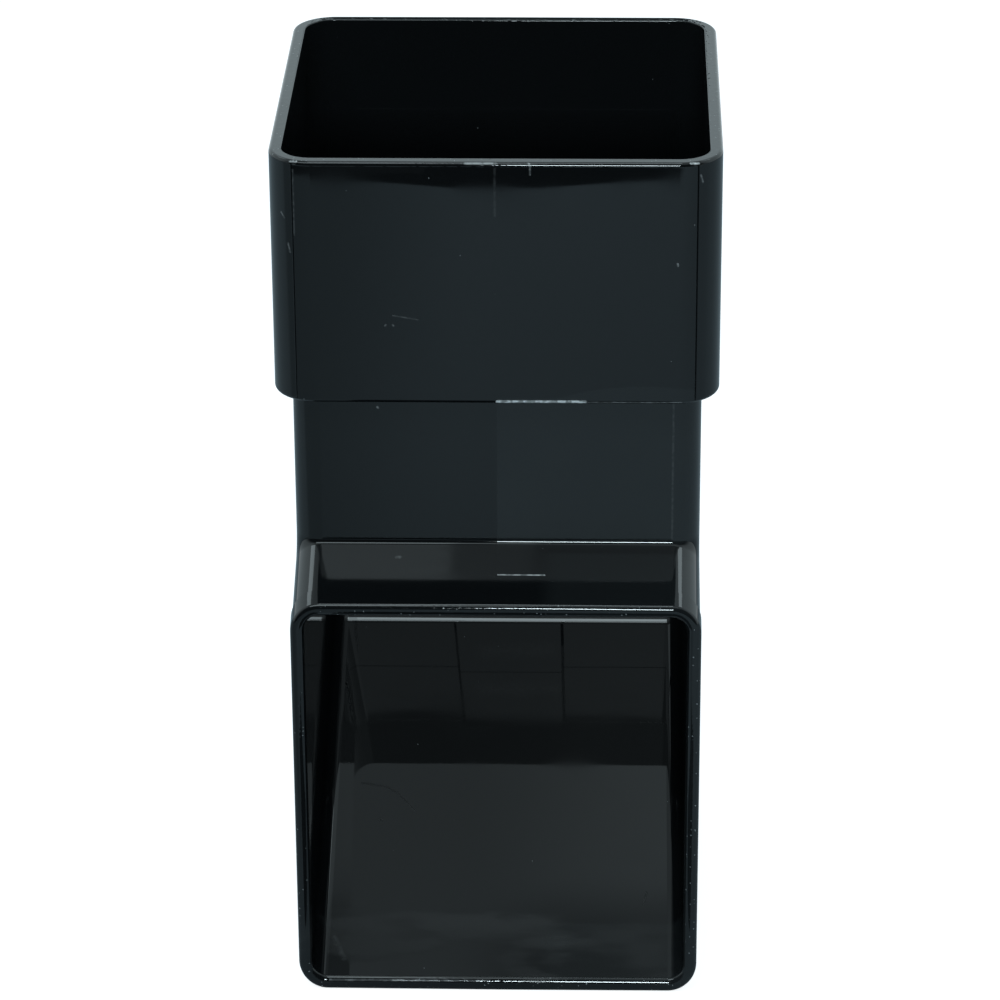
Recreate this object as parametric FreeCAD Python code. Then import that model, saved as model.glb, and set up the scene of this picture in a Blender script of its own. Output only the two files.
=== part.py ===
import FreeCAD, Part
import math
import os

from FreeCAD import Vector

# Downpipe shoe for square pipe, moulded in one piece.
# Frame: the origin is the middle of the seat where the pipe's end stops, +Z runs up
# the pipe, and the outlet throws the water out towards -Y. Lengths in millimetres.

# Square socket round the end of the pipe
pipe_side = 65.0
pipe_gap = 0.5
socket_depth = 38.1
socket_corner = 4.8

# Moulded wall, the same all through
wall = 2.0

# Square body under the socket, bent into the outlet
step_in = 2.75
body_corner = 4.5
body_drop = 25.25
throat_round = 0.8
heel_round = 8.5

# Outlet: fall below the level in degrees, and how far the mouth stands out from the body
outlet_fall = 22.5
mouth_throw = 12.9

# Narrow lip round the outside of the mouth
lip_rise = 0.2
lip_depth = 3.3

# Raised strip down the inside of the back wall
strip_width = 19.5
strip_rise = 1.0

# Edges: socket rim, the step under the socket, and the mouth
rim_round = 0.6
rim_break = 0.2
step_round = 0.8
mouth_round = 0.85
mouth_break = 1.1

# Sizes that follow
socket_bore = pipe_side + 2 * pipe_gap
socket_side = socket_bore + 2 * wall
body_side = socket_side - 2 * step_in
body_bore = body_side - 2 * wall
throat_z = -wall - body_drop
mouth_y = -body_side / 2 - mouth_throw
fall = math.radians(outlet_fall)
turn = math.pi / 2 - fall
overrun = socket_side

# How near counts as touching when faces and edges are picked
touch = 1e-6

up = Vector(0, 0, 1)
down = Vector(0, 0, -1)
forward = Vector(0, -1, 0)


def square_bar(side, corner, bottom, top):
    # Upright square bar with rounded corners, centred on the pipe's axis
    height = top - bottom
    bar = Part.makeBox(side, side, height, Vector(-side / 2, -side / 2, bottom))
    upright = [edge for edge in bar.Edges if abs(edge.BoundBox.ZLength - height) < touch]
    return bar.makeFillet(corner, upright)


def rounded_corner(before, at, after, radius):
    # Arc that rounds the corner of an outline, between the points where it meets both lines
    back = (before - at).normalize()
    ahead = (after - at).normalize()
    half_angle = back.getAngle(ahead) / 2
    reach = radius / math.tan(half_angle)
    bow = (back + ahead).normalize() * (radius / math.sin(half_angle) - radius)
    start = at + back * reach
    end = at + ahead * reach
    return start, Part.Arc(start, at + bow, end).toShape(), end


def bend_outline(inset, top, mouth):
    # Side view of the bent square tube: down the front, out along the top of the outlet,
    # down the mouth, back along the outlet's floor and up the back.
    # The inset moves every wall inwards, and the throat and heel keep their centres.
    half = body_side / 2 - inset
    slope = math.tan(fall)
    mitre = math.tan(turn / 2)
    throat = Vector(0, -half, throat_z - inset * mitre)
    heel = Vector(0, half, throat.z - 2 * half * mitre)
    front_top = Vector(0, -half, top)
    back_top = Vector(0, half, top)
    mouth_top = Vector(0, mouth, throat.z - (throat.y - mouth) * slope)
    mouth_foot = Vector(0, mouth, heel.z - (heel.y - mouth) * slope)
    throat_in, throat_arc, throat_out = rounded_corner(front_top, throat, mouth_top, throat_round + inset)
    heel_in, heel_arc, heel_out = rounded_corner(mouth_foot, heel, back_top, heel_round - inset)
    return Part.Wire([
        Part.makeLine(front_top, throat_in),
        throat_arc,
        Part.makeLine(throat_out, mouth_top),
        Part.makeLine(mouth_top, mouth_foot),
        Part.makeLine(mouth_foot, heel_in),
        heel_arc,
        Part.makeLine(heel_out, back_top),
        Part.makeLine(back_top, front_top),
    ])


def bent_bar(inset, top, mouth):
    # The outline drawn out to the tube's width, with its four long corners rounded
    width = body_side - 2 * inset
    side = Part.Face(bend_outline(inset, top, mouth))
    side.translate(Vector(-width / 2, 0, 0))
    bar = side.extrude(Vector(width, 0, 0))

    def runs_along(edge):
        box = edge.BoundBox
        across = box.XLength > touch
        at_top = box.ZMin > top - touch
        at_mouth = box.YMax < mouth + touch
        return not (across or at_top or at_mouth)

    return bar.makeFillet(body_corner - inset, [edge for edge in bar.Edges if runs_along(edge)])


def mouth_lip():
    # The tube's last stretch, cut off just behind the mouth and grown by the lip's rise
    tube = bent_bar(-lip_rise, 0, mouth_y)
    box = tube.BoundBox
    slab = Part.makeBox(box.XLength, lip_depth, box.ZLength, Vector(box.XMin, mouth_y, box.ZMin))
    return tube.common(slab)


def hollow_shell():
    # Socket and bent tube hollowed to one wall; the floor left between them stops the pipe
    socket = square_bar(socket_side, socket_corner + wall, -wall, socket_depth)
    outside = socket.fuse([bent_bar(0, 0, mouth_y), mouth_lip()]).removeSplitter()
    bore = square_bar(socket_bore, socket_corner, 0, socket_depth + overrun)
    passage = bent_bar(wall, overrun, mouth_y - overrun)
    return outside.cut(bore).cut(passage)


def back_strip():
    # Strip that stands in from the back wall, from the pipe's seat down into the heel
    corner = Vector(-strip_width / 2, body_bore / 2 - strip_rise, -overrun)
    strip = Part.makeBox(strip_width, strip_rise, overrun, corner)
    return strip.common(bent_bar(wall, 0, mouth_y))


def flat_face(solid, normal, offset):
    # The flat face with this outward normal, this far from the origin along it
    for face in solid.Faces:
        flat = isinstance(face.Surface, Part.Plane)
        if flat and face.normalAt(0, 0).isEqual(normal, touch):
            if abs(face.CenterOfMass.dot(normal) - offset) < touch:
                return face


def rounded(solid, normal, offset, loop, radius):
    # Rounds one loop of edges of a ring-shaped face: its outline or its hole
    face = flat_face(solid, normal, offset)
    loops = {}
    for wire in face.Wires:
        loops["outline" if wire.isSame(face.OuterWire) else "hole"] = wire.Edges
    return solid.makeFillet(radius, loops[loop])


shoe = hollow_shell()
shoe = rounded(shoe, up, socket_depth, "outline", rim_round)
shoe = rounded(shoe, up, socket_depth, "hole", rim_break)
shoe = rounded(shoe, down, wall, "outline", step_round)
shoe = rounded(shoe, forward, -mouth_y, "outline", mouth_round)
shoe = rounded(shoe, forward, -mouth_y, "hole", mouth_break)
shoe = shoe.fuse(back_strip()).removeSplitter()

os.makedirs("parts", exist_ok=True)
shoe.exportStep("parts/downpipe_shoe.step")
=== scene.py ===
import bpy
import bmesh
import math
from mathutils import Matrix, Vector


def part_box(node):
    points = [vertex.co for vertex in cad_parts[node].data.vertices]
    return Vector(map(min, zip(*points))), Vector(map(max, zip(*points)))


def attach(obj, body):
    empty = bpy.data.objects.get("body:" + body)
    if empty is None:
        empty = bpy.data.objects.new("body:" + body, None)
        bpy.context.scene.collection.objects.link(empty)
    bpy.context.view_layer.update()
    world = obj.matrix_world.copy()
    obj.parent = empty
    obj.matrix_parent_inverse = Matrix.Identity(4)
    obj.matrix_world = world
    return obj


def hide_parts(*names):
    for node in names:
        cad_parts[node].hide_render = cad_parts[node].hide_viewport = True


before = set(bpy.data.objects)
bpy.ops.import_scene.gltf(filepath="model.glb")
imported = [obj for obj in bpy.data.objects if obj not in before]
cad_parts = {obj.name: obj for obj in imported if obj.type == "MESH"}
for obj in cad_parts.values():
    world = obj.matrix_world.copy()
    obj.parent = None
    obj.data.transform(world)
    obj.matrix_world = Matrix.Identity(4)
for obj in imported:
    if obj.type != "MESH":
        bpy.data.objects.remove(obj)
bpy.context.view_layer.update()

low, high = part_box("downpipe_shoe")
mm = 0.001
near = 1e-6  # how close counts as lying on a plane
onLine = 1e-5  # and on a line that was worked out
inGroove = 2e-5  # and at the bottom of a groove
flatShare = 0.99  # a normal that follows an axis this far belongs to a flat face
slant = 0.1  # a normal that leans less than this along a direction runs square to it


# picking by place, in edit mode
def pickFaces(piece, test):
    bpy.ops.mesh.select_mode(type="FACE")
    bpy.ops.mesh.select_all(action="DESELECT")
    edit = bmesh.from_edit_mesh(piece.data)
    for face in edit.faces:
        if test(face):
            face.select_set(True)
    bmesh.update_edit_mesh(piece.data)


def pickEdges(piece, test):
    bpy.ops.mesh.select_mode(type="EDGE")
    bpy.ops.mesh.select_all(action="DESELECT")
    edit = bmesh.from_edit_mesh(piece.data)
    for edge in edit.edges:
        if test(edge, edge.verts[0].co, edge.verts[1].co):
            edge.select_set(True)
    bmesh.update_edit_mesh(piece.data)


def pickVerts(piece, test):
    bpy.ops.mesh.select_mode(type="VERT")
    bpy.ops.mesh.select_all(action="DESELECT")
    edit = bmesh.from_edit_mesh(piece.data)
    for vert in edit.verts:
        if test(vert.co):
            vert.select_set(True)
    edit.select_flush(True)
    bmesh.update_edit_mesh(piece.data)


def cutAt(point, normal, clear=False):
    bpy.ops.mesh.select_mode(type="FACE")
    bpy.ops.mesh.select_all(action="SELECT")
    bpy.ops.mesh.bisect(plane_co=point, plane_no=normal, clear_outer=clear, threshold=near)


def startPiece(name):
    piece = bpy.context.object
    piece.name = name
    piece.data.name = name
    bpy.ops.object.mode_set(mode="EDIT")
    return piece


# the shoe, sizes in mm and degrees; socket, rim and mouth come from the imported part
shoe = {
    "wall": 2.0,
    "stepIn": 2.75,
    "socketCorner": 6.8,
    "bodyCorner": 4.5,
    "throatZ": -27.25,
    "fall": 22.5,
    "throatRound": 0.8,
    "heelRound": 8.5,
    "lipRise": 0.2,
    "lipDepth": 3.3,
    "stripWidth": 19.5,
    "stripRise": 1.0,
    "stripDraft": 0.5,
    "stripFacing": 0.2,  # least forward lean of the faces it is raised from
    "rimRound": 0.6,
    "rimBreak": 0.2,
    "stepRound": 0.8,
    "seatBreak": 0.2,
    "mouthRound": 0.85,
    "mouthBreak": 1.1,
    "mouthWidest": 1.5,  # times the radius
    "partingRise": 0.08,
    "creaseWidth": 0.16,
    "creaseDepth": 0.30,
    "creaseFoot": 0.12,
    "creaseStep": 4,
    "coreLine": -34.0,
    "coreWidth": 0.14,
    "coreDepth": 0.25,
    "scoreReach": 1.5,  # times the strip's rise
    "cornerSteps": 14,
    "edgeSteps": 9,
    "overrun": 20.0,
    "bridgeGap": 0.5,
    "mergeWithin": 0.002,
    "smoothAngle": 28.0,
    "normalWeight": 100,
}
wall = shoe["wall"] * mm
overrun = shoe["overrun"] * mm
gap = shoe["bridgeGap"] * mm
socketHalf = (high.x - low.x) / 2
bodyHalf = socketHalf - shoe["stepIn"] * mm
rimZ = high.z
mouthY = low.y
fall = math.radians(shoe["fall"])
mitre = math.tan((math.pi / 2 - fall) / 2)
outletWay = Vector((0, -math.cos(fall), -math.sin(fall)))


def partDown(piece, rise):
    # the two mould halves meet on x = 0
    cutAt((0, 0, 0), (1, 0, 0))
    if rise:
        pickVerts(piece, lambda co: abs(co.x) < near)
        bpy.ops.transform.shrink_fatten(value=rise, use_even_offset=True)
        pickEdges(piece, lambda edge, a, b: abs(a.x) < near and abs(b.x) < near)
        bpy.ops.mesh.mark_sharp()


def squareSleeve(name, half, corner, rim, foot, rise):
    bpy.ops.object.select_all(action="DESELECT")
    bpy.ops.mesh.primitive_plane_add(size=2 * half, location=(0, 0, 0))
    sleeve = startPiece(name)
    bpy.ops.transform.translate(value=(0, 0, rim))
    bpy.ops.mesh.select_mode(type="VERT")
    bpy.ops.mesh.select_all(action="SELECT")
    bpy.ops.mesh.bevel(offset=corner, offset_type="OFFSET", segments=shoe["cornerSteps"], affect="VERTICES")
    bpy.ops.mesh.select_all(action="SELECT")
    bpy.ops.mesh.delete(type="ONLY_FACE")
    bpy.ops.mesh.select_all(action="SELECT")
    bpy.ops.mesh.extrude_region_move(TRANSFORM_OT_translate={"value": (0, 0, foot - rim)})
    bpy.ops.mesh.select_all(action="SELECT")
    bpy.ops.mesh.normals_make_consistent(inside=False)
    partDown(sleeve, rise)
    bpy.ops.object.mode_set(mode="OBJECT")
    return sleeve


def bentTube(name, inset, top, mouth, rise, lipped):
    half = bodyHalf - inset
    throatZ = shoe["throatZ"] * mm - inset * mitre
    heelZ = throatZ - 2 * half * mitre
    bpy.ops.object.select_all(action="DESELECT")
    bpy.ops.mesh.primitive_cube_add(size=2 * half, location=(0, 0, 0))
    tube = startPiece(name)

    # pull the block up past the step and tilt its foot onto the mitre
    pickVerts(tube, lambda co: co.z > 0)
    bpy.ops.transform.translate(value=(0, 0, top + overrun - half))
    pickVerts(tube, lambda co: co.z < 0 and co.y < 0)
    bpy.ops.transform.translate(value=(0, 0, throatZ + half))
    pickVerts(tube, lambda co: co.z < top and co.y > 0)
    bpy.ops.transform.translate(value=(0, 0, heelZ + half))

    # run the outlet on past the mouth, then lose the mitre on the two sides
    reach = (half - mouthY + overrun) / math.cos(fall)
    pickFaces(tube, lambda face: face.normal.z < -slant)
    bpy.ops.mesh.extrude_region_move(TRANSFORM_OT_translate={"value": outletWay * reach})
    pickEdges(tube, lambda edge, a, b: abs(a.x - b.x) < near and abs(a.y - b.y) > half
              and min(a.z, b.z) < heelZ + near and max(a.z, b.z) > throatZ - near)
    bpy.ops.mesh.dissolve_edges(use_verts=False)

    # throat and heel
    for y, z, radius in ((-half, throatZ, shoe["throatRound"] * mm + inset),
                         (half, heelZ, shoe["heelRound"] * mm - inset)):
        place = Vector((0, y, z))
        pickEdges(tube, lambda edge, a, b: ((a + b) / 2 - place).length < near)
        bpy.ops.mesh.bevel(offset=radius * mitre, offset_type="OFFSET", segments=shoe["cornerSteps"],
                           clamp_overlap=False)

    # four long corners
    def longCorner(edge, a, b):
        atTop = min(a.z, b.z) > top + overrun / 2
        atEnd = max(a.y, b.y) < mouthY - overrun / 2 and abs(a.z - b.z) > half
        return abs(a.x - b.x) < near and not atTop and not atEnd

    pickEdges(tube, longCorner)
    bpy.ops.mesh.bevel(offset=shoe["bodyCorner"] * mm - inset, offset_type="OFFSET",
                       segments=shoe["cornerSteps"], clamp_overlap=False)
    partDown(tube, rise)
    if lipped:
        lipBack = mouthY + shoe["lipDepth"] * mm
        cutAt((0, lipBack, 0), (0, -1, 0))
        pickFaces(tube, lambda face: max(vert.co.y for vert in face.verts) < lipBack + near
                  and abs(face.normal.dot(outletWay)) < slant)
        bpy.ops.mesh.extrude_region_shrink_fatten(
            TRANSFORM_OT_shrink_fatten={"value": shoe["lipRise"] * mm, "use_even_offset": True})
    cutAt((0, mouth, 0), (0, -1, 0), clear=True)
    cutAt((0, 0, top), (0, 0, 1), clear=True)
    bpy.ops.object.mode_set(mode="OBJECT")
    return tube


def joinSkins(skins, name):
    bpy.ops.object.select_all(action="DESELECT")
    for skin in skins:
        skin.select_set(True)
    bpy.context.view_layer.objects.active = skins[0]
    bpy.ops.object.join()
    piece = startPiece(name)
    # step, seat, rim and mouth: bridge two open loops, then push the one that was held back level
    for axis, level, heldAt, push in (
            (2, -wall, -wall - gap, Vector((0, 0, gap))),
            (2, 0, -gap, Vector((0, 0, gap))),
            (2, rimZ, rimZ - gap, Vector((0, 0, gap))),
            (1, mouthY, mouthY + gap, outletWay * gap / math.cos(fall))):
        pickEdges(piece, lambda edge, a, b: edge.is_boundary and any(
            abs(a[axis] - at) < near and abs(b[axis] - at) < near for at in (level, heldAt)))
        bpy.ops.mesh.bridge_edge_loops()
        pickVerts(piece, lambda co: abs(co[axis] - heldAt) < near)
        bpy.ops.transform.translate(value=push)
    bpy.ops.mesh.select_all(action="SELECT")
    bpy.ops.mesh.normals_make_consistent(inside=False)
    return piece


def roundRing(piece, axis, level, keep, radius, widest):
    # rounds the edges of a flat ring whose other face passes the test; each edge's setback follows
    # from its own angle, so that the radius stays the same all round, up to the widest setback
    def onRing(edge, a, b):
        if abs(a[axis] - level) > near or abs(b[axis] - level) > near or len(edge.link_faces) != 2:
            return False
        flat = [abs(face.normal[axis]) > flatShare for face in edge.link_faces]
        if flat[0] == flat[1]:
            return False
        other = edge.link_faces[flat.index(False)]
        return keep(other, (a + b) / 2)

    bpy.ops.mesh.select_all(action="SELECT")
    bpy.ops.transform.edge_bevelweight(value=-1)
    pickEdges(piece, onRing)
    edit = bmesh.from_edit_mesh(piece.data)
    setbacks = {}
    for edge in edit.edges:
        if edge.select:
            share = min(radius * math.tan(edge.calc_face_angle() / 2) / widest, 1.0)
            setbacks.setdefault(round(share, 3), []).append(edge.index)
    for share, indices in setbacks.items():
        chosen = set(indices)
        pickEdges(piece, lambda edge, a, b: edge.index in chosen)
        bpy.ops.transform.edge_bevelweight(value=share)
    bpy.ops.object.mode_set(mode="OBJECT")
    bpy.ops.object.modifier_add(type="BEVEL")
    bevel = piece.modifiers[-1]
    bevel.limit_method = "WEIGHT"
    bevel.offset_type = "OFFSET"
    bevel.width = widest * mm
    bevel.segments = shoe["edgeSteps"]
    bevel.use_clamp_overlap = False
    bpy.ops.object.modifier_apply(modifier=bevel.name)
    bpy.ops.object.mode_set(mode="EDIT")


def creaseCorners(piece):
    # narrow crease down each front corner of the socket, deepest at the rim
    corner = shoe["socketCorner"] * mm
    turn = math.pi / 2 * shoe["creaseStep"] / shoe["cornerSteps"]
    outward = Vector((math.sin(turn), -math.cos(turn), 0))
    middle = Vector((socketHalf - corner, corner - socketHalf, 0))
    line = middle + outward * corner
    for side in (-1, 1):
        at = Vector((side * line.x, line.y))
        inward = Vector((-side * outward.x, -outward.y, 0)) * mm
        pickEdges(piece, lambda edge, a, b: abs(a.z - b.z) > overrun
                  and (a.xy - at).length < onLine and (b.xy - at).length < onLine)
        bpy.ops.mesh.bevel(offset=shoe["creaseWidth"] * mm, offset_type="OFFSET", segments=2, profile=0.5)
        pickVerts(piece, lambda co: (co.xy - at).length < inGroove and co.z > overrun)
        bpy.ops.transform.translate(value=inward * shoe["creaseDepth"])
        pickVerts(piece, lambda co: (co.xy - at).length < inGroove and co.z < overrun)
        bpy.ops.transform.translate(value=inward * shoe["creaseFoot"])


def scoreBackWall(piece):
    # witness line of the mould's core, level across the inside of the back wall and the strip
    level = shoe["coreLine"] * mm
    wallY = bodyHalf - wall
    reach = shoe["scoreReach"] * shoe["stripRise"] * mm
    cutAt((0, 0, level), (0, 0, 1))
    pickEdges(piece, lambda edge, a, b: all(
        abs(co.z - level) < near and wallY - reach < co.y < wallY + near for co in (a, b)))
    bpy.ops.mesh.bevel(offset=shoe["coreWidth"] * mm, offset_type="OFFSET", segments=2, profile=0.5)
    pickVerts(piece, lambda co: abs(co.z - level) < near and wallY - reach < co.y < wallY + near)
    bpy.ops.transform.translate(value=(0, shoe["coreDepth"] * mm, 0))


def raiseStrip(piece):
    # raised strip down the inside of the back wall, running out in the heel
    half = shoe["stripWidth"] / 2 * mm
    wallY = bodyHalf - wall
    stripY = wallY - shoe["stripRise"] * mm
    for x in (-half, half):
        cutAt((x, 0, 0), (1, 0, 0))
    pickFaces(piece, lambda face: face.normal.y < -shoe["stripFacing"]
              and face.calc_center_median().y > stripY and face.calc_center_median().z < -near
              and abs(face.calc_center_median().x) < half
              and min(vert.co.y for vert in face.verts) > stripY - near)
    bpy.ops.mesh.extrude_region_move(TRANSFORM_OT_translate={"value": (0, 0, 0)})
    narrow = 1 - shoe["stripDraft"] * mm / half
    bpy.ops.transform.resize(value=(narrow, 0, 1), center_override=(0, stripY, 0))


rise = shoe["partingRise"] * mm
skins = [
    squareSleeve("outerSocket", socketHalf, shoe["socketCorner"] * mm, rimZ, -wall, rise),
    bentTube("outerBody", 0, -wall - gap, mouthY, rise, True),
    bentTube("innerBody", wall, -gap, mouthY + gap, 0, False),
    squareSleeve("innerSocket", socketHalf - wall, shoe["socketCorner"] * mm - wall, rimZ - gap, 0, 0),
]
shoePiece = joinSkins(skins, "moulded_shoe")
mouthMiddle = Vector((0, mouthY, (shoe["throatZ"] * mm + low.z) / 2))


def sleeveOut(other, at):
    return other.normal.dot(at - Vector((0, 0, at.z))) > 0


def sleeveIn(other, at):
    return not sleeveOut(other, at)


def mouthOut(other, at):
    return other.normal.dot(at - mouthMiddle) > 0


def mouthIn(other, at):
    return not mouthOut(other, at)


def aboveStep(other, at):
    return other.calc_center_median().z > -wall


def underSeat(other, at):
    return other.calc_center_median().z < 0


for axis, level, keep, size, spread in (
        (2, rimZ, sleeveOut, "rimRound", 1),
        (2, rimZ, sleeveIn, "rimBreak", 1),
        (2, -wall, aboveStep, "stepRound", 1),
        (2, 0, underSeat, "seatBreak", 1),
        (1, mouthY, mouthOut, "mouthRound", shoe["mouthWidest"]),
        (1, mouthY, mouthIn, "mouthBreak", shoe["mouthWidest"])):
    roundRing(shoePiece, axis, level, keep, shoe[size], spread * shoe[size])
creaseCorners(shoePiece)
raiseStrip(shoePiece)
scoreBackWall(shoePiece)
bpy.ops.mesh.select_all(action="SELECT")
bpy.ops.mesh.remove_doubles(threshold=shoe["mergeWithin"] * mm)
bpy.ops.object.mode_set(mode="OBJECT")
bpy.ops.object.select_all(action="DESELECT")
shoePiece.select_set(True)
bpy.context.view_layer.objects.active = shoePiece
bpy.ops.object.shade_smooth_by_angle(angle=math.radians(shoe["smoothAngle"]))
bpy.ops.object.modifier_add(type="WEIGHTED_NORMAL")
shoePiece.modifiers[-1].keep_sharp = True
shoePiece.modifiers[-1].weight = shoe["normalWeight"]
bpy.ops.object.modifier_apply(modifier=shoePiece.modifiers[-1].name)
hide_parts("downpipe_shoe")
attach(shoePiece, "root")
print("shoe", len(shoePiece.data.vertices), "points", len(shoePiece.data.polygons), "faces")


# gloss black moulded plastic; lengths in metres, marks in mm
plastic = {
    "black": (0.0046, 0.0053, 0.0060, 1),
    # pale tone for the right half of the body's front, also used for the painted light in the bore and the
    # painted highlight on the socket's front
    "paleHalfAndLight": (0.0145, 0.0168, 0.0180, 1),
    "boreLightTone": 0.22,
    "flowGlintTone": 0.45,
    "flowPeak": (0.023, 0.0011),
    "flowBend": 11.2,
    "dust": (0.60, 0.64, 0.66, 1),
    "dustTone": 0.6,
    # pale colour of the nicks, the water film and the painted highlights
    "paleAndGlint": (0.95, 0.97, 0.98, 1),
    "ior": 1.47,
    "gloss": 0.015,
    "smudged": 0.06,
    "smeared": 0.26,
    "smearRight": 0.3,
    "film": 0.009,
    "topSmudge": 0.06,
    "dusty": 0.55,
    "waveScale": 26.0,
    "waveHeight": 0.00006,
    "smudgeScale": 55.0,
    "grainScale": 1500.0,
    "speckSize": 0.26,
    "fewSpecks": 0.9985,
    "manySpecks": 0.75,
    "edgeReach": 0.0008,
    "gritScale": 1300.0,
    "gritHeight": 0.000012,
    "smearReach": (-0.036, -0.028),
    "smearDepth": (-0.095, -0.088),
    "smearAcross": (0.006, 0.018),
    "smearFlow": (0.42, 0.70),
    "filmFlow": (0.56, 0.66),
    "streakScale": (0.45, 1.6, 1.6),
    "flowScale": 120.0,
    "halves": (-0.0002, 0.0002),
    "bodyFoot": (-0.0277, -0.0270),
    "bodyHead": (-0.0028, -0.0024),
    "bodyFace": (-0.0300, -0.0280),
    "cloudTone": (0.25, 0.75, 0.75, 1.0),
    "boreWall": (0.0331, 0.0335),
    "boreFoot": (-0.03, 0.0),
    "flowEdge": 0.0001,
    "flowStart": (0.006, 0.010),
    "socketFace": (-0.0346, -0.0340),
    "stepSide": (0.0325, 0.0335),
    "gritTone": (0.40, 0.60, 0.4, 1.0),
    "smudgeRange": (0.40, 0.75),
    "topFace": (-0.0335, -0.0325),
    "topFoot": (-0.0340, -0.0330),
    "topHead": (-0.0276, -0.0270),
    "topFlow": (0.35, 0.60, 0.3, 1.0),
}

# scratches and specks the photo shows, as strokes from point to point with a width and a strength
scratches = (
    ((-23.8, -7.1, -84.5), (-20.0, -7.7, -84.7), 0.35, 1.0),
    ((-20.0, -7.7, -84.7), (-17.7, -9.1, -85.3), 0.35, 1.0),
    ((-17.7, -9.1, -85.3), (-14.7, -12.4, -86.7), 0.32, 1.0),
    ((-20.5, -14.4, -87.5), (-20.4, -14.5, -87.55), 0.60, 1.0),
    ((24.4, -28.1, -93.2), (23.8, -30.7, -94.3), 0.25, 1.0),
)
# pale specks and nicks, and painted highlights: glints along the rim just left of the parting and at its
# two front corners, along the socket's foot, across the outlet's top just below the throat and along the
# left half of the mouth's foot, and faint light lines down the socket's left corner and the body's right
# corner
nicksAndGlints = (
    ((-17.1, -35.0, 11.2), (-17.0, -35.0, 11.3), 0.22, 0.15),
    ((-15.9, -35.0, 11.3), (-15.8, -35.0, 11.2), 0.22, 0.15),
    ((-15.9, -35.0, 12.9), (-12.0, -35.0, 12.2), 0.16, 0.12),
    ((28.1, -35.0, 21.7), (28.2, -35.0, 21.3), 0.20, 0.3),
    ((5.4, -35.0, 37.6), (5.1, -34.9, 38.1), 0.30, 0.6),
    ((5.4, -35.0, 36.2), (5.4, -35.0, 37.6), 0.20, 0.3),
    ((0.0, -35.0, 29.5), (0.0, -35.0, 37.2), 0.30, 0.035),
    ((0.3, -34.9, -1.6), (13.9, -34.9, -1.6), 0.42, 2.0),
    ((-18.7, -32.25, -3.8), (-18.6, -32.25, -3.9), 0.25, 0.3),
    ((27.8, -32.25, -26.5), (27.8, -32.25, -3.0), 0.26, 0.04),
    ((-30.9, -34.45, 26.0), (-30.9, -34.45, 36.6), 0.24, 0.06),
    ((-32.9, -33.1, 29.2), (-32.4, -33.5, 28.5), 0.22, 0.15),
    ((-31.9, -33.9, 24.4), (-31.6, -34.1, 23.0), 0.22, 0.15),
    ((31.5, -34.15, 35.9), (31.8, -33.95, 34.7), 0.22, 0.20),
    ((-4.5, -34.95, 38.0), (0.2, -34.95, 38.0), 0.30, 0.60),
    ((13.9, -34.9, -1.6), (29.0, -34.9, -1.6), 0.14, 0.35),
    ((-27.2, -37.1, -96.9), (-25.3, -41.2, -98.6), 0.70, 0.03),
    ((-3.5, 20.4, -73.1), (7.2, 20.7, -73.0), 2.6, 0.006),
    ((-3.9, 12.2, -76.5), (8.6, 12.7, -76.3), 2.2, 0.006),
    ((-27.4, -45.1, -100.45), (-1.2, -45.1, -100.4), 0.28, 0.30),
    ((-31.4, -34.2, 37.9), (-30.3, -34.4, 37.9), 0.25, 1.0),
    ((29.9, -34.5, 37.9), (31.2, -34.3, 37.9), 0.25, 1.0),
    ((0.3, -38.6, -29.9), (7.6, -38.6, -29.9), 0.20, 1.0),
    ((-15.9, -35.2, -28.5), (-15.4, -35.2, -28.5), 0.40, 0.15),
)


def makeNode(tree, kind, **values):
    node = tree.nodes.new("ShaderNode" + kind)
    for name, value in values.items():
        setattr(node, name, value)
    return node


def mathNode(tree, operation, first, second):
    node = makeNode(tree, "Math", operation=operation)
    for slot, value in enumerate((first, second)):
        if isinstance(value, (int, float)):
            node.inputs[slot].default_value = value
        else:
            tree.links.new(value, node.inputs[slot])
    return node.outputs[0]


def both(tree, first, second):
    # as much as two masks have in common
    return mathNode(tree, "MULTIPLY", first, second)


def ramp(tree, value, fromMin, fromMax, toMin=0.0, toMax=1.0):
    node = makeNode(tree, "MapRange", interpolation_type="SMOOTHSTEP")
    tree.links.new(value, node.inputs["Value"])
    node.inputs["From Min"].default_value = fromMin
    node.inputs["From Max"].default_value = fromMax
    node.inputs["To Min"].default_value = toMin
    node.inputs["To Max"].default_value = toMax
    return node.outputs[0]


def vectorNode(tree, operation, *values):
    node = makeNode(tree, "VectorMath", operation=operation)
    for slot, value in enumerate(values):
        tree.links.new(value, node.inputs[slot])
    scalar = operation in ("DOT_PRODUCT", "DISTANCE")
    return node.outputs["Value" if scalar else "Vector"]


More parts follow.
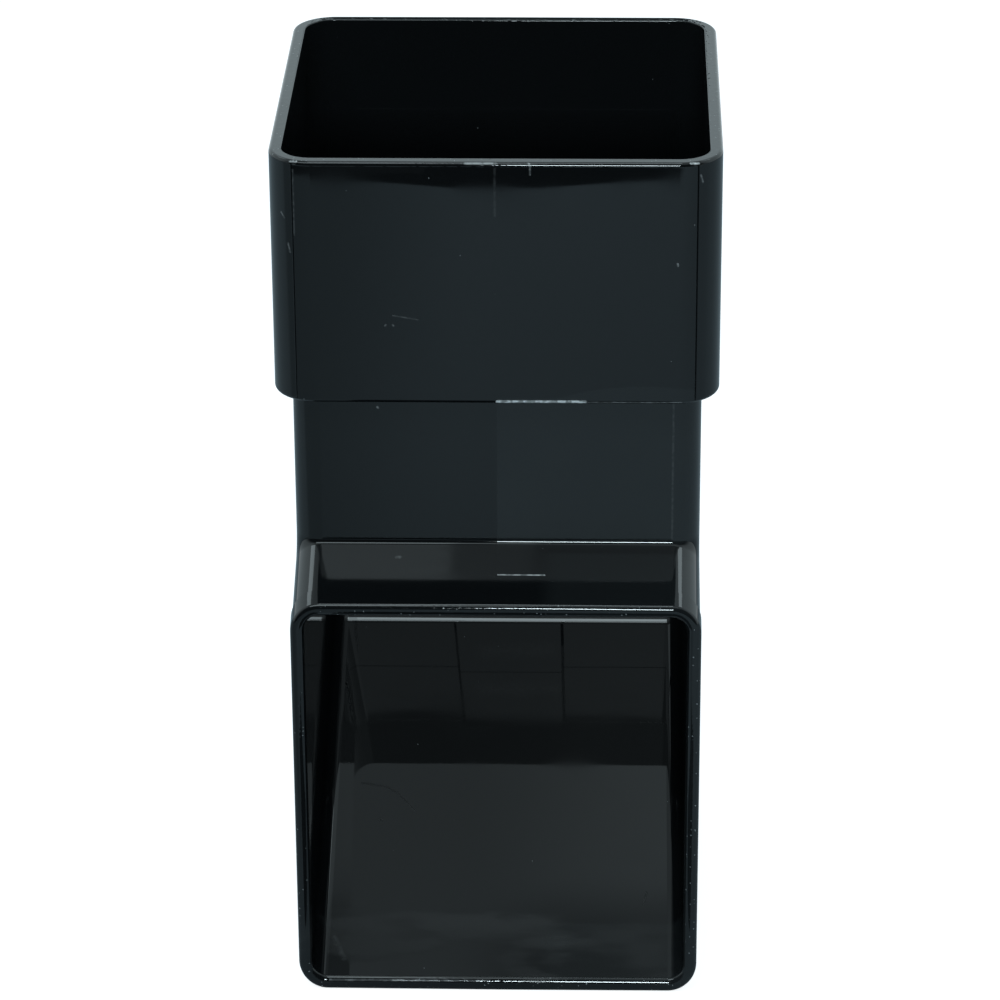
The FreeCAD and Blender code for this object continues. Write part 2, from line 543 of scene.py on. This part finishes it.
def strokeGroup():
    # how strongly a point lies on a stroke: full on the line, falling to nothing at its width
    group = bpy.data.node_groups.new("stroke_mark", "ShaderNodeTree")
    for name, kind in (("Place", "NodeSocketVector"), ("Start", "NodeSocketVector"),
                       ("Along", "NodeSocketVector"), ("Share", "NodeSocketVector"),
                       ("Fall", "NodeSocketFloat"), ("Strength", "NodeSocketFloat")):
        group.interface.new_socket(name=name, in_out="INPUT", socket_type=kind)
    group.interface.new_socket(name="Mark", in_out="OUTPUT", socket_type="NodeSocketFloat")
    given = group.nodes.new("NodeGroupInput")
    result = group.nodes.new("NodeGroupOutput")
    away = vectorNode(group, "SUBTRACT", given.outputs["Place"], given.outputs["Start"])
    share = mathNode(group, "ADD", vectorNode(group, "DOT_PRODUCT", away, given.outputs["Share"]), 0.0)
    share.node.use_clamp = True
    nearest = vectorNode(group, "MULTIPLY_ADD", given.outputs["Along"], share, given.outputs["Start"])
    distance = vectorNode(group, "DISTANCE", given.outputs["Place"], nearest)
    mark = makeNode(group, "Math", operation="MULTIPLY_ADD", use_clamp=True)
    for slot, value in enumerate((distance, given.outputs["Fall"], given.outputs["Strength"])):
        group.links.new(value, mark.inputs[slot])
    group.links.new(mark.outputs[0], result.inputs["Mark"])
    return group


def strokes(tree, place, group, marks):
    total = None
    for first, last, width, strength in marks:
        along = (Vector(last) - Vector(first)) * mm
        node = tree.nodes.new("ShaderNodeGroup")
        node.node_tree = group
        tree.links.new(place, node.inputs["Place"])
        node.inputs["Start"].default_value = Vector(first) * mm
        node.inputs["Along"].default_value = along
        node.inputs["Share"].default_value = along / along.length_squared
        node.inputs["Fall"].default_value = -strength / (width * mm)
        node.inputs["Strength"].default_value = strength
        total = node.outputs[0] if total is None else mathNode(tree, "MAXIMUM", total, node.outputs[0])
    return total


def noise(tree, place, scale, detail):
    node = makeNode(tree, "TexNoise")
    tree.links.new(place, node.inputs["Vector"])
    node.inputs["Scale"].default_value = scale
    node.inputs["Detail"].default_value = detail
    return node.outputs["Fac"]


def within(tree, value, centre, reach):
    # 1 at the centre, falling to 0 at the reach
    away = mathNode(tree, "ABSOLUTE", mathNode(tree, "SUBTRACT", value, centre), 0.0)
    return ramp(tree, away, 0.0, reach, 1.0, 0.0)


def blend(tree, amount, first, second, kind):
    node = makeNode(tree, "Mix", data_type=kind)
    sockets = {"FLOAT": (2, 3, 0), "RGBA": (6, 7, 2)}[kind]
    tree.links.new(amount, node.inputs[0])
    for slot, value in zip(sockets[:2], (first, second)):
        if isinstance(value, (int, float, tuple)):
            node.inputs[slot].default_value = value
        else:
            tree.links.new(value, node.inputs[slot])
    return node.outputs[sockets[2]]


def blackPlastic():
    material = bpy.data.materials.new("gloss_black_upvc")
    material.use_nodes = True
    tree = material.node_tree
    shader = tree.nodes["Principled BSDF"]
    shader.inputs["IOR"].default_value = plastic["ior"]
    where = makeNode(tree, "TexCoord")
    place = where.outputs["Object"]
    split = makeNode(tree, "SeparateXYZ")
    tree.links.new(place, split.inputs[0])
    x, y, z = split.outputs

    # the right half of the body's front is a shade paler
    front = both(tree, ramp(tree, z, *plastic["bodyFoot"]), ramp(tree, z, *plastic["bodyHead"], 1.0, 0.0))
    front = both(tree, front, ramp(tree, y, *plastic["bodyFace"], 1.0, 0.0))
    front = both(tree, front, ramp(tree, x, *plastic["halves"]))
    cloud = noise(tree, place, plastic["smudgeScale"], 2.0)
    tone = both(tree, front, ramp(tree, cloud, *plastic["cloudTone"]))
    # painted light: the inside is painted paler up in the socket's bore, near the open top, fading out down
    # into the deep of the body
    across = mathNode(tree, "ABSOLUTE", x, 0.0)
    aside = mathNode(tree, "MAXIMUM", across, mathNode(tree, "ABSOLUTE", y, 0.0))
    boreLight = both(tree, ramp(tree, aside, *plastic["boreWall"], plastic["boreLightTone"], 0.0),
                ramp(tree, z, *plastic["boreFoot"]))
    tone = mathNode(tree, "MAXIMUM", tone, boreLight)
    # painted highlight: a pale tongue low on the right of the socket's front, for the sheen on the wave
    # where the flow ended
    peakX, peakZ = plastic["flowPeak"]
    edge = plastic["flowEdge"]
    off = mathNode(tree, "SUBTRACT", x, peakX)
    bow = mathNode(tree, "MULTIPLY", both(tree, off, off), plastic["flowBend"])
    flowGlint = ramp(tree, mathNode(tree, "ADD", z, bow), peakZ - edge, peakZ + edge, plastic["flowGlintTone"], 0.0)
    flowGlint = both(tree, flowGlint, ramp(tree, y, *plastic["socketFace"], 1.0, 0.0))
    flowGlint = both(tree, flowGlint, ramp(tree, x, *plastic["flowStart"]))
    tone = mathNode(tree, "MAXIMUM", tone, flowGlint)
    colour = blend(tree, tone, plastic["black"], plastic["paleHalfAndLight"], "RGBA")

    # dust: thin on the faces, thicker along the rim, the step and the mouth
    edges = mathNode(tree, "MAXIMUM", within(tree, z, rimZ, plastic["edgeReach"]),
                     within(tree, y, mouthY, plastic["edgeReach"]))
    step = both(tree, within(tree, z, -wall, plastic["edgeReach"]), ramp(tree, aside, *plastic["stepSide"]))
    edges = mathNode(tree, "MAXIMUM", edges, step)
    spread = makeNode(tree, "VectorMath", operation="SCALE")
    tree.links.new(place, spread.inputs[0])
    spread.inputs["Scale"].default_value = plastic["grainScale"]
    cell = vectorNode(tree, "FLOOR", spread.outputs[0])
    grain = makeNode(tree, "TexWhiteNoise")
    tree.links.new(cell, grain.inputs["Vector"])
    enough = blend(tree, edges, plastic["fewSpecks"], plastic["manySpecks"], "FLOAT")
    chosen = mathNode(tree, "GREATER_THAN", grain.outputs["Value"], enough)
    inCell = vectorNode(tree, "SUBTRACT", spread.outputs[0], cell)
    grainAway = vectorNode(tree, "DISTANCE", inCell, grain.outputs["Color"])
    speck = ramp(tree, grainAway, 0.0, plastic["speckSize"], 1.0, 0.0)
    dust = mathNode(tree, "MULTIPLY", both(tree, chosen, speck), plastic["dustTone"])

    # scratches, pale nicks with painted highlights, and the smear left by water near the mouth
    group = strokeGroup()
    scratch = strokes(tree, place, group, scratches)
    pale = strokes(tree, place, group, nicksAndGlints)
    streaks = makeNode(tree, "Mapping")
    tree.links.new(place, streaks.inputs["Vector"])
    streaks.inputs["Scale"].default_value = plastic["streakScale"]
    flow = noise(tree, streaks.outputs[0], plastic["flowScale"], 3.0)
    smear = both(tree, ramp(tree, y, *plastic["smearReach"], 1.0, 0.0),
                 ramp(tree, flow, *plastic["smearFlow"]))
    smear = both(tree, smear, ramp(tree, z, *plastic["smearDepth"], 1.0, 0.0))
    smear = both(tree, smear, ramp(tree, x, *plastic["smearAcross"], 1.0, plastic["smearRight"]))
    film = both(tree, smear, ramp(tree, flow, *plastic["filmFlow"], 0.0, plastic["film"]))

    grit = noise(tree, place, plastic["gritScale"], 1.0)
    wornAndGlint = both(tree, pale, ramp(tree, grit, *plastic["gritTone"]))
    colour = blend(tree, dust, colour, plastic["dust"], "RGBA")
    colour = blend(tree, mathNode(tree, "MAXIMUM", wornAndGlint, film), colour, plastic["paleAndGlint"], "RGBA")
    tree.links.new(colour, shader.inputs["Base Color"])

    # gloss: cloudy all over, dull in the smear, smudged on the outlet's top, dry on dust and marks
    rough = ramp(tree, cloud, *plastic["smudgeRange"], plastic["gloss"], plastic["smudged"])
    rough = blend(tree, smear, rough, plastic["smeared"], "FLOAT")
    top = both(tree, ramp(tree, y, *plastic["topFace"], 1.0, 0.0), ramp(tree, z, *plastic["topFoot"]))
    top = both(tree, top, ramp(tree, z, *plastic["topHead"], 1.0, 0.0))
    top = both(tree, top, ramp(tree, flow, *plastic["topFlow"]))
    rough = blend(tree, top, rough, plastic["topSmudge"], "FLOAT")
    marked = mathNode(tree, "MAXIMUM", mathNode(tree, "MAXIMUM", dust, wornAndGlint), scratch)
    rough = blend(tree, marked, rough, plastic["dusty"], "FLOAT")
    tree.links.new(rough, shader.inputs["Roughness"])

    # height: slow waves of the moulding, and grit along the edges
    wave = mathNode(tree, "MULTIPLY", noise(tree, place, plastic["waveScale"], 1.0), plastic["waveHeight"])
    gritty = mathNode(tree, "MULTIPLY", both(tree, grit, edges), plastic["gritHeight"])
    height = mathNode(tree, "ADD", wave, gritty)
    bump = makeNode(tree, "Bump")
    bump.inputs["Strength"].default_value = 1.0
    bump.inputs["Distance"].default_value = 1.0
    tree.links.new(height, bump.inputs["Height"])
    tree.links.new(bump.outputs[0], shader.inputs["Normal"])
    return material


shoePiece.data.materials.clear()
shoePiece.data.materials.append(blackPlastic())
print("plastic on")

# the set: a pale sheet that ends in front of the shoe, a soft room and a few lamps
stage = {
    "sheetFront": -0.406,
    "notchBack": 0.009,
    "notchCuts": (-0.080, -0.022, 0.002, 0.060),
    "sheetBack": 2.6,
    "sheetHalf": 1.6,
    "sheetColor": (0.46, 0.525, 0.57, 1),
    "sheetShade": (0.30, 0.345, 0.37, 1),
    "shadeAcross": (-0.055, -0.012),
    "shadeFront": (-0.12, -0.08),
    "lift": 0.84,
    "whiteFrom": 0.35,
    "whiteTo": 0.80,
}


def whiteRays(tree, behind):
    # camera and transmitted rays always meet the white background, mirrored rays only behind the shoe
    path = makeNode(tree, "LightPath")
    seen = mathNode(tree, "MAXIMUM", path.outputs["Is Camera Ray"], path.outputs["Is Transmission Ray"])
    mirrored = both(tree, path.outputs["Is Glossy Ray"], behind)
    return seen, mirrored


def paleSheet():
    bpy.ops.object.select_all(action="DESELECT")
    bpy.ops.mesh.primitive_plane_add(size=2, location=(0, 0, 0))
    sheet = startPiece("floor_sheet")
    depth = stage["sheetBack"] - stage["sheetFront"]
    bpy.ops.transform.resize(value=(stage["sheetHalf"], depth / 2, 1))
    bpy.ops.transform.translate(value=(0, stage["sheetFront"] + depth / 2, low.z))
    # the front edge stands back a little in the middle
    cuts = stage["notchCuts"]
    for x in cuts:
        cutAt((x, 0, 0), (1, 0, 0))
    pickVerts(sheet, lambda co: co.y < 0 and cuts[1] - near < co.x < cuts[2] + near)
    bpy.ops.transform.translate(value=(0, stage["notchBack"], 0))
    bpy.ops.object.mode_set(mode="OBJECT")
    material = bpy.data.materials.new("pale_sheet")
    material.use_nodes = True
    tree = material.node_tree
    tree.nodes.clear()
    where = makeNode(tree, "TexCoord")
    split = makeNode(tree, "SeparateXYZ")
    tree.links.new(where.outputs["Object"], split.inputs[0])
    behind = ramp(tree, split.outputs["Y"], stage["whiteFrom"], stage["whiteTo"])
    seen, mirrored = whiteRays(tree, behind)
    paper = makeNode(tree, "BsdfDiffuse")
    # painted shade: the sheet is painted darker in front of the shoe and to its left, so the faces that
    # mirror it there show darker
    shade = both(tree, ramp(tree, split.outputs["X"], *stage["shadeAcross"], 1.0, 0.0),
                 ramp(tree, split.outputs["Y"], *stage["shadeFront"], 1.0, 0.0))
    tint = blend(tree, shade, stage["sheetColor"], stage["sheetShade"], "RGBA")
    tree.links.new(tint, paper.inputs["Color"])
    lift = makeNode(tree, "Emission")
    level = mathNode(tree, "MULTIPLY", mathNode(tree, "MAXIMUM", seen, mirrored), stage["lift"])
    tree.links.new(level, lift.inputs["Strength"])
    lifted = makeNode(tree, "AddShader")
    tree.links.new(paper.outputs[0], lifted.inputs[0])
    tree.links.new(lift.outputs[0], lifted.inputs[1])
    out = makeNode(tree, "OutputMaterial")
    tree.links.new(lifted.outputs[0], out.inputs["Surface"])
    sheet.data.materials.append(material)


paleSheet()

# two cards that only show mirrored, as painted reflections: grey behind the rim, and black on the sheet
# before the mouth as a painted shadow; each has its place, its width and height, its tilt and its tone
cardBlack = (0.01, 0.011, 0.012, 1)
cardRough = 0.9
cardZ = low.z + 0.5 * mm
cards = {
    "grey_card": ((-0.024, 1.0, 0.2925), (0.148, 0.185), math.pi / 2, (0.15, 0.17, 0.17, 1)),
    "shadow_card": ((0.0, -0.099, cardZ), (0.060, 0.070), 0.0, cardBlack),
}


def finishCard(piece, tone):
    material = bpy.data.materials.new(piece.name)
    material.use_nodes = True
    shader = material.node_tree.nodes["Principled BSDF"]
    shader.inputs["Base Color"].default_value = tone
    shader.inputs["Roughness"].default_value = cardRough
    piece.data.materials.append(material)
    piece.visible_camera = False
    piece.visible_diffuse = False
    piece.visible_shadow = False


def mirrorCard(name, place, size, tilt, tone):
    bpy.ops.object.select_all(action="DESELECT")
    bpy.ops.mesh.primitive_plane_add(size=1, location=(0, 0, 0))
    plate = startPiece(name)
    bpy.ops.transform.resize(value=(size[0], size[1], 1))
    if tilt:
        bpy.ops.transform.rotate(value=tilt, orient_axis="X", center_override=(0, 0, 0))
    bpy.ops.transform.translate(value=place)
    bpy.ops.object.mode_set(mode="OBJECT")
    finishCard(plate, tone)


for name, values in cards.items():
    mirrorCard(name, *values)

# painted reflection: black arcs on the sheet, seen only mirrored, carry the dark reflection under the rim
# round to the two front corners
arc = {
    "centre": (0.030, -0.034),
    "inner": 0.371,
    "outer": 0.46,
    "turn": 54.0,
    "steps": 128,
}


def blackArc(name, side):
    turn = math.radians(arc["turn"])
    spread = arc["outer"] / arc["inner"]
    bpy.ops.object.select_all(action="DESELECT")
    bpy.ops.mesh.primitive_circle_add(vertices=arc["steps"], radius=arc["inner"], fill_type="NOTHING",
                                      location=(0, 0, 0))
    piece = startPiece(name)
    bpy.ops.mesh.select_all(action="SELECT")
    bpy.ops.mesh.extrude_region_move(TRANSFORM_OT_translate={"value": (0, 0, 0)})
    bpy.ops.transform.resize(value=(spread, spread, 1), center_override=(0, 0, 0))
    cutAt((0, 0, 0), (-side, 0, 0), clear=True)
    cutAt((0, 0, 0), (side * math.cos(turn), math.sin(turn), 0), clear=True)
    bpy.ops.mesh.select_all(action="SELECT")
    bpy.ops.transform.translate(value=(side * arc["centre"][0], arc["centre"][1], cardZ))
    bpy.ops.object.mode_set(mode="OBJECT")
    finishCard(piece, cardBlack)


for name, side in (("left_arc", -1), ("right_arc", 1)):
    blackArc(name, side)

room = {
    "tint": (0.79, 0.95, 1.0, 1),
    "dark": 0.03,
    "white": 0.6,
    "mirrorWhite": 1.05,
    "frontOverhead": 0.45,
    "backOverhead": 0.5,
    "rightOverhead": 1.5,
    "dimPatch": 0.40,
    "wallSpan": (-0.55, -0.05),
    "ceilingSpan": (-0.25, 0.05),
    "ceilingFrom": (0.70, 0.90),
    "rightSpan": (-0.035, 0.02),
    "patchNear": (0.20, 0.23),
    "patchFar": (0.2444, 0.2680),
    "patchAcross": (-0.045, 0.0),
}


def softRoom():
    world = bpy.data.worlds.new("studio_room")
    bpy.context.scene.world = world
    world.use_nodes = True
    tree = world.node_tree
    tree.nodes.clear()
    where = makeNode(tree, "TexCoord")
    split = makeNode(tree, "SeparateXYZ")
    tree.links.new(where.outputs["Generated"], split.inputs[0])
    across, ahead, up = split.outputs
    # dark behind the camera, white behind the shoe
    behind = ramp(tree, ahead, *room["wallSpan"])
    seen, mirrored = whiteRays(tree, behind)
    walls = mathNode(tree, "MAXIMUM", ramp(tree, ahead, *room["wallSpan"], room["dark"], room["white"]),
                     mathNode(tree, "MULTIPLY", mirrored, room["mirrorWhite"]))
    overhead = ramp(tree, up, *room["ceilingFrom"])
    walls = both(tree, walls, mathNode(tree, "SUBTRACT", 1.0, overhead))
    # a ceiling over both, paler to the right, with a dim patch that shows low on the outlet's floor
    ceiling = ramp(tree, ahead, *room["ceilingSpan"], room["frontOverhead"], room["backOverhead"])
    ceiling = both(tree, ceiling, ramp(tree, across, *room["rightSpan"], 1.0, room["rightOverhead"]))
    patch = both(tree, ramp(tree, ahead, *room["patchFar"], 1.0, 0.0),
                 ramp(tree, across, *room["patchAcross"]))
    patch = both(tree, patch, ramp(tree, ahead, *room["patchNear"]))
    ceiling = both(tree, ceiling, ramp(tree, patch, 0.0, 1.0, 1.0, room["dimPatch"]))
    level = mathNode(tree, "ADD", walls, both(tree, ceiling, overhead))
    shell = makeNode(tree, "Background")
    shell.inputs["Color"].default_value = room["tint"]
    tree.links.new(level, shell.inputs["Strength"])
    white = makeNode(tree, "Background")
    white.inputs["Color"].default_value = (1, 1, 1, 1)
    pick = makeNode(tree, "MixShader")
    tree.links.new(seen, pick.inputs[0])
    tree.links.new(shell.outputs[0], pick.inputs[1])
    tree.links.new(white.outputs[0], pick.inputs[2])
    out = makeNode(tree, "OutputWorld")
    tree.links.new(pick.outputs[0], out.inputs[0])


softRoom()

# lamps: place, what they face, width and height in metres, and brightness of the lit face
lampTint = (0.80, 0.95, 1.0)
lamps = {
    "softbox": ((-0.3775, -0.57, 1.0), (-0.3775, -0.57, 0), 0.645, 0.42, 3.6),
    "softboxEdge": ((-0.0300, -0.57, 1.0), (-0.0300, -0.57, 0), 0.050, 0.42, 1.5),
    "overheadStrip": ((0, -0.352, 1.0), (0, -0.352, 0), 0.80, 0.136, 0.7),
    "overheadLamp": ((-0.03, -0.02, 1.0), (-0.03, -0.02, 0), 0.26, 0.16, 6.0),
    "backLeft": ((-0.715, 0.546, 0.95), (0, -0.04, -0.03), 0.17, 0.30, 2.2),
    "backRight": ((0.588, 0.503, 1.045), (0, -0.04, -0.03), 0.15, 0.30, 2.6),
    "cameraLamp": ((0.026, -0.85, 0.277), (0, -0.04, 0), 0.097, 0.10, 65.0),
}


def boxLamp(name, place, target, width, height, glow):
    bpy.ops.object.light_add(type="AREA", location=place)
    lamp = bpy.context.object
    lamp.name = name
    lamp.data.shape = "RECTANGLE"
    lamp.data.size = width
    lamp.data.size_y = height
    lamp.data.energy = glow * math.pi * width * height
    lamp.data.color = lampTint
    aim = Vector(target) - Vector(place)
    lamp.rotation_euler = aim.to_track_quat("-Z", "Y").to_euler()


for name, values in lamps.items():
    boxLamp(name, *values)

# camera at the photo's angle; lens from the fitted view, picture taken as square
view = {
    "place": (0.017798, -0.661746, 0.2708),
    "lens": 157.596,
    "sensor": 36,
    "elevation": 24.767,
    "azimuth": 1.575,
    "roll": -0.318,
}


def photoCamera():
    bpy.ops.object.camera_add(location=view["place"])
    camera = bpy.context.object
    camera.data.sensor_width = view["sensor"]
    camera.data.lens = view["lens"]
    up = math.radians(view["elevation"])
    turn = math.radians(view["azimuth"])
    roll = math.radians(view["roll"])
    camera.rotation_euler = (math.pi / 2 - up, 0, turn)
    camera.rotation_euler.rotate_axis("Z", roll)
    bpy.context.scene.camera = camera


photoCamera()
bpy.context.scene.view_settings.view_transform = "Standard"
print("set ready")
